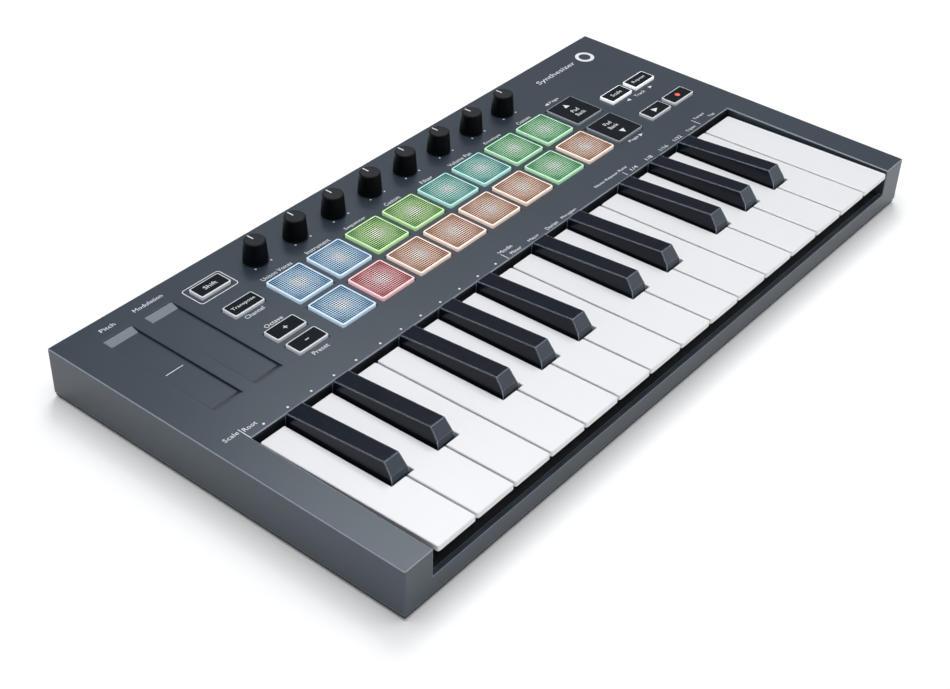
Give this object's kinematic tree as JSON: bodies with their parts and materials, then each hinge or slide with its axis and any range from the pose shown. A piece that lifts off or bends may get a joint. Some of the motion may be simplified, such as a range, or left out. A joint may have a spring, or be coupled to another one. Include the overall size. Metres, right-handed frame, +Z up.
{
  "type": "synthesizer",
  "caption": "Compact keyboard controller with mini piano keys, lit square pads, a row of knobs, touch strips and push buttons in a low dark case.",
  "frame": {"origin": "on the table, under the middle of the case", "axes": "+X along the keyboard to the high notes, +Y to the back, +Z up"},
  "size_m": [0.33, 0.1729, 0.0322],
  "materials": {
    "case": "satin, fine spark texture",
    "base": "matt",
    "chassis": "matt",
    "white_key": "satin gloss",
    "black_key": "satin",
    "button_cap": "black print on a clear cap",
    "knob": "matt, soft touch",
    "pad_silicone": "translucent, lit from below",
    "touch_surface": "satin",
    "silicone": "matt",
    "felt": "pressed felt",
    "circuit_board": "solder mask",
    "pot_body": "moulded",
    "switch_body": "moulded",
    "steel": "ground",
    "screw_steel": "blackened",
    "socket_metal": "plated",
    "socket_plastic": "moulded",
    "rubber_foot": "matt"
  },
  "bodies": {
    "case": {"bottom_shell": "base", "button_switches": "switch_body", "case_screws": "screw_steel", "control_board": "circuit_board", "hinge_rod": "steel", "key_board": "circuit_board", "key_contact_strip": "silicone", "key_frame": "chassis", "key_stop_felt": "felt", "midi_jack": "socket_plastic", "pad_mat": "pad_silicone", "potentiometers": "pot_body", "rubber_feet": "rubber_foot", "sustain_jack": "socket_plastic", "top_shell": "case", "touch_strips": "touch_surface", "usb_socket": "socket_metal"},
    "key_a_1": {"key_a_1": "white_key"},
    "key_a_2": {"key_a_2": "white_key"},
    "key_a_sharp_1": {"key_a_sharp_1": "black_key"},
    "key_a_sharp_2": {"key_a_sharp_2": "black_key"},
    "key_b_1": {"key_b_1": "white_key"},
    "key_b_2": {"key_b_2": "white_key"},
    "key_c_1": {"key_c_1": "white_key"},
    "key_c_2": {"key_c_2": "white_key"},
    "key_c_3": {"key_c_3": "white_key"},
    "key_c_sharp_1": {"key_c_sharp_1": "black_key"},
    "key_c_sharp_2": {"key_c_sharp_2": "black_key"},
    "key_d_1": {"key_d_1": "white_key"},
    "key_d_2": {"key_d_2": "white_key"},
    "key_d_sharp_1": {"key_d_sharp_1": "black_key"},
    "key_d_sharp_2": {"key_d_sharp_2": "black_key"},
    "key_e_1": {"key_e_1": "white_key"},
    "key_e_2": {"key_e_2": "white_key"},
    "key_f_1": {"key_f_1": "white_key"},
    "key_f_2": {"key_f_2": "white_key"},
    "key_f_sharp_1": {"key_f_sharp_1": "black_key"},
    "key_f_sharp_2": {"key_f_sharp_2": "black_key"},
    "key_g_1": {"key_g_1": "white_key"},
    "key_g_2": {"key_g_2": "white_key"},
    "key_g_sharp_1": {"key_g_sharp_1": "black_key"},
    "key_g_sharp_2": {"key_g_sharp_2": "black_key"},
    "knob_1": {"knob_1": "knob"},
    "knob_2": {"knob_2": "knob"},
    "knob_3": {"knob_3": "knob"},
    "knob_4": {"knob_4": "knob"},
    "knob_5": {"knob_5": "knob"},
    "knob_6": {"knob_6": "knob"},
    "knob_7": {"knob_7": "knob"},
    "knob_8": {"knob_8": "knob"},
    "button_note_repeat": {"button_note_repeat": "button_cap"},
    "button_octave_down": {"button_octave_down": "button_cap"},
    "button_octave_up": {"button_octave_up": "button_cap"},
    "button_page_down": {"button_page_down": "button_cap"},
    "button_page_up": {"button_page_up": "button_cap"},
    "button_play": {"button_play": "button_cap"},
    "button_record": {"button_record": "button_cap"},
    "button_scale": {"button_scale": "button_cap"},
    "button_shift": {"button_shift": "button_cap"},
    "button_transpose": {"button_transpose": "button_cap"}
  },
  "joints": [
    {"name": "press_key_c_1", "type": "hinge", "parent": "case", "child": "key_c_1", "pos_m": [0, 0.004, 0.0134], "axis": [1, 0, 0], "range_deg": [0, 3.6], "stiffness_Nm_per_rad": 0.6, "springref_deg": -4.58},
    {"name": "press_key_c_sharp_1", "type": "hinge", "parent": "case", "child": "key_c_sharp_1", "pos_m": [0, 0.004, 0.0134], "axis": [1, 0, 0], "range_deg": [0, 3.6], "stiffness_Nm_per_rad": 0.6, "springref_deg": -4.58},
    {"name": "press_key_e_1", "type": "hinge", "parent": "case", "child": "key_e_1", "pos_m": [0, 0.004, 0.0134], "axis": [1, 0, 0], "range_deg": [0, 3.6], "stiffness_Nm_per_rad": 0.6, "springref_deg": -4.58},
    {"name": "press_key_c_3", "type": "hinge", "parent": "case", "child": "key_c_3", "pos_m": [0, 0.004, 0.0134], "axis": [1, 0, 0], "range_deg": [0, 3.6], "stiffness_Nm_per_rad": 0.6, "springref_deg": -4.58},
    {"name": "turn_knob_1", "type": "hinge", "parent": "case", "child": "knob_1", "pos_m": [-0.0758, 0.0694, 0.0274], "axis": [0, 0, 1], "range_deg": [-140, 140]},
    {"name": "press_button_shift", "type": "slide", "parent": "case", "child": "button_shift", "axis": [0, 0, -1], "range_m": [0, 0.0007], "stiffness_N_per_m": 700, "springref_m": -0.0007},
    {"name": "turn_knob_8", "type": "hinge", "parent": "case", "child": "knob_8", "pos_m": [0.07925, 0.0694, 0.0274], "axis": [0, 0, 1], "range_deg": [-140, 140]},
    {"name": "press_button_page_down", "type": "slide", "parent": "case", "child": "button_page_down", "axis": [0, 0, -1], "range_m": [0, 0.0007], "stiffness_N_per_m": 700, "springref_m": -0.0007},
    {"name": "press_button_note_repeat", "type": "slide", "parent": "case", "child": "button_note_repeat", "axis": [0, 0, -1], "range_m": [0, 0.0007], "stiffness_N_per_m": 700, "springref_m": -0.0007},
    {"name": "press_button_octave_down", "type": "slide", "parent": "case", "child": "button_octave_down", "axis": [0, 0, -1], "range_m": [0, 0.0007], "stiffness_N_per_m": 700, "springref_m": -0.0007},
    {"name": "press_button_octave_up", "type": "slide", "parent": "case", "child": "button_octave_up", "axis": [0, 0, -1], "range_m": [0, 0.0007], "stiffness_N_per_m": 700, "springref_m": -0.0007},
    {"name": "press_button_page_up", "type": "slide", "parent": "case", "child": "button_page_up", "axis": [0, 0, -1], "range_m": [0, 0.0007], "stiffness_N_per_m": 700, "springref_m": -0.0007},
    {"name": "press_button_play", "type": "slide", "parent": "case", "child": "button_play", "axis": [0, 0, -1], "range_m": [0, 0.0007], "stiffness_N_per_m": 700, "springref_m": -0.0007},
    {"name": "press_button_record", "type": "slide", "parent": "case", "child": "button_record", "axis": [0, 0, -1], "range_m": [0, 0.0007], "stiffness_N_per_m": 700, "springref_m": -0.0007},
    {"name": "press_button_scale", "type": "slide", "parent": "case", "child": "button_scale", "axis": [0, 0, -1], "range_m": [0, 0.0007], "stiffness_N_per_m": 700, "springref_m": -0.0007},
    {"name": "press_button_transpose", "type": "slide", "parent": "case", "child": "button_transpose", "axis": [0, 0, -1], "range_m": [0, 0.0007], "stiffness_N_per_m": 700, "springref_m": -0.0007},
    {"name": "turn_knob_2", "type": "hinge", "parent": "case", "child": "knob_2", "pos_m": [-0.05365, 0.0694, 0.0274], "axis": [0, 0, 1], "range_deg": [-140, 140]},
    {"name": "turn_knob_3", "type": "hinge", "parent": "case", "child": "knob_3", "pos_m": [-0.0315, 0.0694, 0.0274], "axis": [0, 0, 1], "range_deg": [-140, 140]},
    {"name": "turn_knob_4", "type": "hinge", "parent": "case", "child": "knob_4", "pos_m": [-0.00935, 0.0694, 0.0274], "axis": [0, 0, 1], "range_deg": [-140, 140]},
    {"name": "turn_knob_5", "type": "hinge", "parent": "case", "child": "knob_5", "pos_m": [0.0128, 0.0694, 0.0274], "axis": [0, 0, 1], "range_deg": [-140, 140]},
    {"name": "turn_knob_6", "type": "hinge", "parent": "case", "child": "knob_6", "pos_m": [0.03495, 0.0694, 0.0274], "axis": [0, 0, 1], "range_deg": [-140, 140]},
    {"name": "turn_knob_7", "type": "hinge", "parent": "case", "child": "knob_7", "pos_m": [0.0571, 0.0694, 0.0274], "axis": [0, 0, 1], "range_deg": [-140, 140]},
    {"name": "press_key_a_sharp_1", "type": "hinge", "parent": "case", "child": "key_a_sharp_1", "pos_m": [0, 0.004, 0.0134], "axis": [1, 0, 0], "range_deg": [0, 3.6], "stiffness_Nm_per_rad": 0.6, "springref_deg": -4.58},
    {"name": "press_key_a_sharp_2", "type": "hinge", "parent": "case", "child": "key_a_sharp_2", "pos_m": [0, 0.004, 0.0134], "axis": [1, 0, 0], "range_deg": [0, 3.6], "stiffness_Nm_per_rad": 0.6, "springref_deg": -4.58},
    {"name": "press_key_c_sharp_2", "type": "hinge", "parent": "case", "child": "key_c_sharp_2", "pos_m": [0, 0.004, 0.0134], "axis": [1, 0, 0], "range_deg": [0, 3.6], "stiffness_Nm_per_rad": 0.6, "springref_deg": -4.58},
    {"name": "press_key_d_sharp_1", "type": "hinge", "parent": "case", "child": "key_d_sharp_1", "pos_m": [0, 0.004, 0.0134], "axis": [1, 0, 0], "range_deg": [0, 3.6], "stiffness_Nm_per_rad": 0.6, "springref_deg": -4.58},
    {"name": "press_key_d_sharp_2", "type": "hinge", "parent": "case", "child": "key_d_sharp_2", "pos_m": [0, 0.004, 0.0134], "axis": [1, 0, 0], "range_deg": [0, 3.6], "stiffness_Nm_per_rad": 0.6, "springref_deg": -4.58},
    {"name": "press_key_f_sharp_1", "type": "hinge", "parent": "case", "child": "key_f_sharp_1", "pos_m": [0, 0.004, 0.0134], "axis": [1, 0, 0], "range_deg": [0, 3.6], "stiffness_Nm_per_rad": 0.6, "springref_deg": -4.58},
    {"name": "press_key_f_sharp_2", "type": "hinge", "parent": "case", "child": "key_f_sharp_2", "pos_m": [0, 0.004, 0.0134], "axis": [1, 0, 0], "range_deg": [0, 3.6], "stiffness_Nm_per_rad": 0.6, "springref_deg": -4.58},
    {"name": "press_key_g_sharp_1", "type": "hinge", "parent": "case", "child": "key_g_sharp_1", "pos_m": [0, 0.004, 0.0134], "axis": [1, 0, 0], "range_deg": [0, 3.6], "stiffness_Nm_per_rad": 0.6, "springref_deg": -4.58},
    {"name": "press_key_g_sharp_2", "type": "hinge", "parent": "case", "child": "key_g_sharp_2", "pos_m": [0, 0.004, 0.0134], "axis": [1, 0, 0], "range_deg": [0, 3.6], "stiffness_Nm_per_rad": 0.6, "springref_deg": -4.58},
    {"name": "press_key_a_1", "type": "hinge", "parent": "case", "child": "key_a_1", "pos_m": [0, 0.004, 0.0134], "axis": [1, 0, 0], "range_deg": [0, 3.6], "stiffness_Nm_per_rad": 0.6, "springref_deg": -4.58},
    {"name": "press_key_a_2", "type": "hinge", "parent": "case", "child": "key_a_2", "pos_m": [0, 0.004, 0.0134], "axis": [1, 0, 0], "range_deg": [0, 3.6], "stiffness_Nm_per_rad": 0.6, "springref_deg": -4.58},
    {"name": "press_key_b_1", "type": "hinge", "parent": "case", "child": "key_b_1", "pos_m": [0, 0.004, 0.0134], "axis": [1, 0, 0], "range_deg": [0, 3.6], "stiffness_Nm_per_rad": 0.6, "springref_deg": -4.58},
    {"name": "press_key_b_2", "type": "hinge", "parent": "case", "child": "key_b_2", "pos_m": [0, 0.004, 0.0134], "axis": [1, 0, 0], "range_deg": [0, 3.6], "stiffness_Nm_per_rad": 0.6, "springref_deg": -4.58},
    {"name": "press_key_c_2", "type": "hinge", "parent": "case", "child": "key_c_2", "pos_m": [0, 0.004, 0.0134], "axis": [1, 0, 0], "range_deg": [0, 3.6], "stiffness_Nm_per_rad": 0.6, "springref_deg": -4.58},
    {"name": "press_key_d_1", "type": "hinge", "parent": "case", "child": "key_d_1", "pos_m": [0, 0.004, 0.0134], "axis": [1, 0, 0], "range_deg": [0, 3.6], "stiffness_Nm_per_rad": 0.6, "springref_deg": -4.58},
    {"name": "press_key_d_2", "type": "hinge", "parent": "case", "child": "key_d_2", "pos_m": [0, 0.004, 0.0134], "axis": [1, 0, 0], "range_deg": [0, 3.6], "stiffness_Nm_per_rad": 0.6, "springref_deg": -4.58},
    {"name": "press_key_e_2", "type": "hinge", "parent": "case", "child": "key_e_2", "pos_m": [0, 0.004, 0.0134], "axis": [1, 0, 0], "range_deg": [0, 3.6], "stiffness_Nm_per_rad": 0.6, "springref_deg": -4.58},
    {"name": "press_key_f_1", "type": "hinge", "parent": "case", "child": "key_f_1", "pos_m": [0, 0.004, 0.0134], "axis": [1, 0, 0], "range_deg": [0, 3.6], "stiffness_Nm_per_rad": 0.6, "springref_deg": -4.58},
    {"name": "press_key_f_2", "type": "hinge", "parent": "case", "child": "key_f_2", "pos_m": [0, 0.004, 0.0134], "axis": [1, 0, 0], "range_deg": [0, 3.6], "stiffness_Nm_per_rad": 0.6, "springref_deg": -4.58},
    {"name": "press_key_g_1", "type": "hinge", "parent": "case", "child": "key_g_1", "pos_m": [0, 0.004, 0.0134], "axis": [1, 0, 0], "range_deg": [0, 3.6], "stiffness_Nm_per_rad": 0.6, "springref_deg": -4.58},
    {"name": "press_key_g_2", "type": "hinge", "parent": "case", "child": "key_g_2", "pos_m": [0, 0.004, 0.0134], "axis": [1, 0, 0], "range_deg": [0, 3.6], "stiffness_Nm_per_rad": 0.6, "springref_deg": -4.58}
  ]
}
